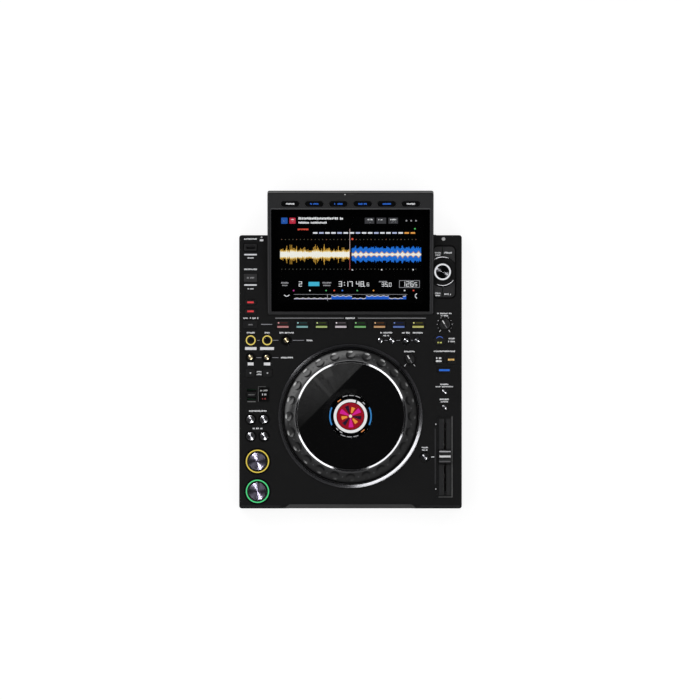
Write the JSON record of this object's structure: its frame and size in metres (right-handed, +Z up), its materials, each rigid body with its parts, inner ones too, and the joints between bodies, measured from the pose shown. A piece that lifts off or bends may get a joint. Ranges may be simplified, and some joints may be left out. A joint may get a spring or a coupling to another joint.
{
  "type": "tabletop dj media player",
  "caption": "Low black tabletop DJ media player with a large jog wheel, a tilted touch screen over its rear edge, lit hot cue pads, play and cue buttons and a tempo fader.",
  "frame": {"origin": "on the table, under the middle of the machine's whole footprint, display included", "axes": "+X to the user's right, +Y towards the back, where the screen is, +Z up"},
  "size_m": [0.329, 0.4692, 0.1209],
  "materials": {
    "case_plastic": "fine textured black moulding",
    "sheet_steel": "black painted steel",
    "plated_steel": "zinc plated",
    "rubber": "matte",
    "bezel_plastic": "satin black",
    "cover_glass": "polished",
    "screen": "lit panel",
    "board": "green circuit board",
    "jog_plastic": "satin black",
    "platter": "gloss black with fine grooves",
    "window": "clear",
    "bearing_steel": "ground steel",
    "gear_plastic": "natural white moulding",
    "key_plastic": "satin black",
    "key_metal": "turned metal",
    "light_guide": "translucent",
    "jack_plastic": "black",
    "knob": "satin black",
    "fader": "black dress plate"
  },
  "bodies": {
    "root": {"top_case": "case_plastic", "bottom_plate": "sheet_steel", "rear_panel": "sheet_steel", "feet": "rubber", "case_screws": "plated_steel", "display_shell": "case_plastic", "display_bezel": "bezel_plastic", "touch_glass": "cover_glass", "lcd_panel": "screen", "circuit_boards": "board", "power_supply": "board", "jog_base": "jog_plastic", "jog_bearings": "bearing_steel", "jog_display": "screen", "rear_jacks": "jack_plastic", "media_port": "jack_plastic", "light_guides": "light_guide", "fader_body": "plated_steel", "fader_plate": "fader"},
    "jog": {"jog_ring": "jog_plastic", "jog_platter": "platter", "jog_window": "window", "jog_hub": "gear_plastic"},
    "encoder_gear": {"encoder_gear": "gear_plastic"},
    "play_button": {"play_button": "key_metal"},
    "cue_button": {"cue_button": "key_metal"},
    "loop_in_button": {"loop_in_button": "key_metal"},
    "loop_out_button": {"loop_out_button": "key_metal"},
    "reloop_button": {"reloop_button": "key_metal"},
    "beat_loop_keys": {"beat_loop_keys": "key_metal"},
    "beat_jump_keys": {"beat_jump_keys": "key_plastic"},
    "track_search_keys": {"track_search_keys": "key_metal"},
    "search_keys": {"search_keys": "key_metal"},
    "mode_keys": {"mode_keys": "key_plastic"},
    "media_stop_key": {"media_stop_key": "key_plastic"},
    "cue_call_keys": {"cue_call_keys": "key_metal"},
    "memory_keys": {"memory_keys": "key_metal"},
    "tempo_reset_key": {"tempo_reset_key": "key_metal"},
    "tempo_keys": {"tempo_keys": "key_metal"},
    "jog_mode_key": {"jog_mode_key": "key_plastic"},
    "beat_sync_key": {"beat_sync_key": "key_plastic"},
    "master_key": {"master_key": "key_plastic"},
    "key_sync_key": {"key_sync_key": "key_plastic"},
    "browse_keys": {"browse_keys": "key_plastic"},
    "hot_cue_1": {"hot_cue_1": "key_plastic"},
    "hot_cue_2": {"hot_cue_2": "key_plastic"},
    "hot_cue_3": {"hot_cue_3": "key_plastic"},
    "hot_cue_4": {"hot_cue_4": "key_plastic"},
    "hot_cue_5": {"hot_cue_5": "key_plastic"},
    "hot_cue_6": {"hot_cue_6": "key_plastic"},
    "hot_cue_7": {"hot_cue_7": "key_plastic"},
    "hot_cue_8": {"hot_cue_8": "key_plastic"},
    "display_keys": {"display_keys": "key_plastic"},
    "power_button": {"power_button": "key_plastic"},
    "selector_shaft": {"selector_shaft": "bearing_steel"},
    "selector_knob": {"selector_knob": "knob"},
    "vinyl_speed_knob": {"vinyl_speed_knob": "knob"},
    "jog_adjust_knob": {"jog_adjust_knob": "knob"},
    "direction_lever": {"direction_lever": "key_plastic"},
    "tempo_slider": {"tempo_slider": "knob"}
  },
  "joints": [
    {"name": "jog_spin", "type": "hinge", "parent": "root", "child": "jog", "pos_m": [0, -0.0981, 0.08], "axis": [0, 0, 1], "continuous": true},
    {"name": "encoder_spin", "type": "hinge", "parent": "root", "child": "encoder_gear", "pos_m": [0.04125, -0.0981, 0.066], "axis": [0, 0, 1], "continuous": true},
    {"name": "play_button_press", "type": "slide", "parent": "root", "child": "play_button", "axis": [0, 0, -1], "range_m": [0, 0.0006], "stiffness_N_per_m": 250, "springref_m": -0.001},
    {"name": "cue_button_press", "type": "slide", "parent": "root", "child": "cue_button", "axis": [0, 0, -1], "range_m": [0, 0.0006], "stiffness_N_per_m": 250, "springref_m": -0.001},
    {"name": "loop_in_button_press", "type": "slide", "parent": "root", "child": "loop_in_button", "axis": [0, 0, -1], "range_m": [0, 0.0006], "stiffness_N_per_m": 250, "springref_m": -0.001},
    {"name": "loop_out_button_press", "type": "slide", "parent": "root", "child": "loop_out_button", "axis": [0, 0, -1], "range_m": [0, 0.0006], "stiffness_N_per_m": 250, "springref_m": -0.001},
    {"name": "reloop_button_press", "type": "slide", "parent": "root", "child": "reloop_button", "axis": [0, 0, -1], "range_m": [0, 0.0006], "stiffness_N_per_m": 250, "springref_m": -0.001},
    {"name": "beat_loop_keys_press", "type": "slide", "parent": "root", "child": "beat_loop_keys", "axis": [0, 0, -1], "range_m": [0, 0.0006], "stiffness_N_per_m": 250, "springref_m": -0.001},
    {"name": "beat_jump_keys_press", "type": "slide", "parent": "root", "child": "beat_jump_keys", "axis": [0, 0, -1], "range_m": [0, 0.0006], "stiffness_N_per_m": 250, "springref_m": -0.001},
    {"name": "track_search_keys_press", "type": "slide", "parent": "root", "child": "track_search_keys", "axis": [0, 0, -1], "range_m": [0, 0.0006], "stiffness_N_per_m": 250, "springref_m": -0.001},
    {"name": "search_keys_press", "type": "slide", "parent": "root", "child": "search_keys", "axis": [0, 0, -1], "range_m": [0, 0.0006], "stiffness_N_per_m": 250, "springref_m": -0.001},
    {"name": "mode_keys_press", "type": "slide", "parent": "root", "child": "mode_keys", "axis": [0, 0, -1], "range_m": [0, 0.0006], "stiffness_N_per_m": 250, "springref_m": -0.001},
    {"name": "media_stop_key_press", "type": "slide", "parent": "root", "child": "media_stop_key", "axis": [0, 0, -1], "range_m": [0, 0.0006], "stiffness_N_per_m": 250, "springref_m": -0.001},
    {"name": "cue_call_keys_press", "type": "slide", "parent": "root", "child": "cue_call_keys", "axis": [0, 0, -1], "range_m": [0, 0.0006], "stiffness_N_per_m": 250, "springref_m": -0.001},
    {"name": "memory_keys_press", "type": "slide", "parent": "root", "child": "memory_keys", "axis": [0, 0, -1], "range_m": [0, 0.0006], "stiffness_N_per_m": 250, "springref_m": -0.001},
    {"name": "tempo_reset_key_press", "type": "slide", "parent": "root", "child": "tempo_reset_key", "axis": [0, 0, -1], "range_m": [0, 0.0006], "stiffness_N_per_m": 250, "springref_m": -0.001},
    {"name": "tempo_keys_press", "type": "slide", "parent": "root", "child": "tempo_keys", "axis": [0, 0, -1], "range_m": [0, 0.0006], "stiffness_N_per_m": 250, "springref_m": -0.001},
    {"name": "jog_mode_key_press", "type": "slide", "parent": "root", "child": "jog_mode_key", "axis": [0, 0, -1], "range_m": [0, 0.0006], "stiffness_N_per_m": 250, "springref_m": -0.001},
    {"name": "beat_sync_key_press", "type": "slide", "parent": "root", "child": "beat_sync_key", "axis": [0, 0, -1], "range_m": [0, 0.0006], "stiffness_N_per_m": 250, "springref_m": -0.001},
    {"name": "master_key_press", "type": "slide", "parent": "root", "child": "master_key", "axis": [0, 0, -1], "range_m": [0, 0.0006], "stiffness_N_per_m": 250, "springref_m": -0.001},
    {"name": "key_sync_key_press", "type": "slide", "parent": "root", "child": "key_sync_key", "axis": [0, 0, -1], "range_m": [0, 0.0006], "stiffness_N_per_m": 250, "springref_m": -0.001},
    {"name": "browse_keys_press", "type": "slide", "parent": "root", "child": "browse_keys", "axis": [0, 0, -1], "range_m": [0, 0.0006], "stiffness_N_per_m": 250, "springref_m": -0.001},
    {"name": "hot_cue_1_press", "type": "slide", "parent": "root", "child": "hot_cue_1", "axis": [0, 0, -1], "range_m": [0, 0.0006], "stiffness_N_per_m": 250, "springref_m": -0.001},
    {"name": "hot_cue_2_press", "type": "slide", "parent": "root", "child": "hot_cue_2", "axis": [0, 0, -1], "range_m": [0, 0.0006], "stiffness_N_per_m": 250, "springref_m": -0.001},
    {"name": "hot_cue_3_press", "type": "slide", "parent": "root", "child": "hot_cue_3", "axis": [0, 0, -1], "range_m": [0, 0.0006], "stiffness_N_per_m": 250, "springref_m": -0.001},
    {"name": "hot_cue_4_press", "type": "slide", "parent": "root", "child": "hot_cue_4", "axis": [0, 0, -1], "range_m": [0, 0.0006], "stiffness_N_per_m": 250, "springref_m": -0.001},
    {"name": "hot_cue_5_press", "type": "slide", "parent": "root", "child": "hot_cue_5", "axis": [0, 0, -1], "range_m": [0, 0.0006], "stiffness_N_per_m": 250, "springref_m": -0.001},
    {"name": "hot_cue_6_press", "type": "slide", "parent": "root", "child": "hot_cue_6", "axis": [0, 0, -1], "range_m": [0, 0.0006], "stiffness_N_per_m": 250, "springref_m": -0.001},
    {"name": "hot_cue_7_press", "type": "slide", "parent": "root", "child": "hot_cue_7", "axis": [0, 0, -1], "range_m": [0, 0.0006], "stiffness_N_per_m": 250, "springref_m": -0.001},
    {"name": "hot_cue_8_press", "type": "slide", "parent": "root", "child": "hot_cue_8", "axis": [0, 0, -1], "range_m": [0, 0.0006], "stiffness_N_per_m": 250, "springref_m": -0.001},
    {"name": "display_keys_press", "type": "slide", "parent": "root", "child": "display_keys", "axis": [0, 0.2588, -0.9659], "range_m": [0, 0.0006], "stiffness_N_per_m": 250, "springref_m": -0.001},
    {"name": "power_button_press", "type": "slide", "parent": "root", "child": "power_button", "axis": [0, -1, 0], "range_m": [0, 0.002], "stiffness_N_per_m": 250, "springref_m": -0.001},
    {"name": "selector_shaft_press", "type": "slide", "parent": "root", "child": "selector_shaft", "axis": [0, 0, -1], "range_m": [0, 0.0006], "stiffness_N_per_m": 250, "springref_m": -0.001},
    {"name": "selector_turn", "type": "hinge", "parent": "selector_shaft", "child": "selector_knob", "pos_m": [0.136, 0.115, 0.08], "axis": [0, 0, 1], "continuous": true},
    {"name": "vinyl_speed_knob_turn", "type": "hinge", "parent": "root", "child": "vinyl_speed_knob", "pos_m": [0.1392, 0.0376, 0.075], "axis": [0, 0, 1], "range_deg": [-150, 150]},
    {"name": "jog_adjust_knob_turn", "type": "hinge", "parent": "root", "child": "jog_adjust_knob", "pos_m": [0.0876, -0.0141, 0.075], "axis": [0, 0, 1], "range_deg": [-150, 150]},
    {"name": "direction_lever_tilt", "type": "hinge", "parent": "root", "child": "direction_lever", "pos_m": [-0.1463, -0.0661, 0.065], "axis": [1, 0, 0], "range_deg": [-12, 12]},
    {"name": "tempo_slide", "type": "slide", "parent": "root", "child": "tempo_slider", "axis": [0, 1, 0], "range_m": [-0.045, 0.045]}
  ],
  "couplings": [
    {"joint": "encoder_spin", "follows": "jog_spin", "ratio": -2.6667}
  ]
}
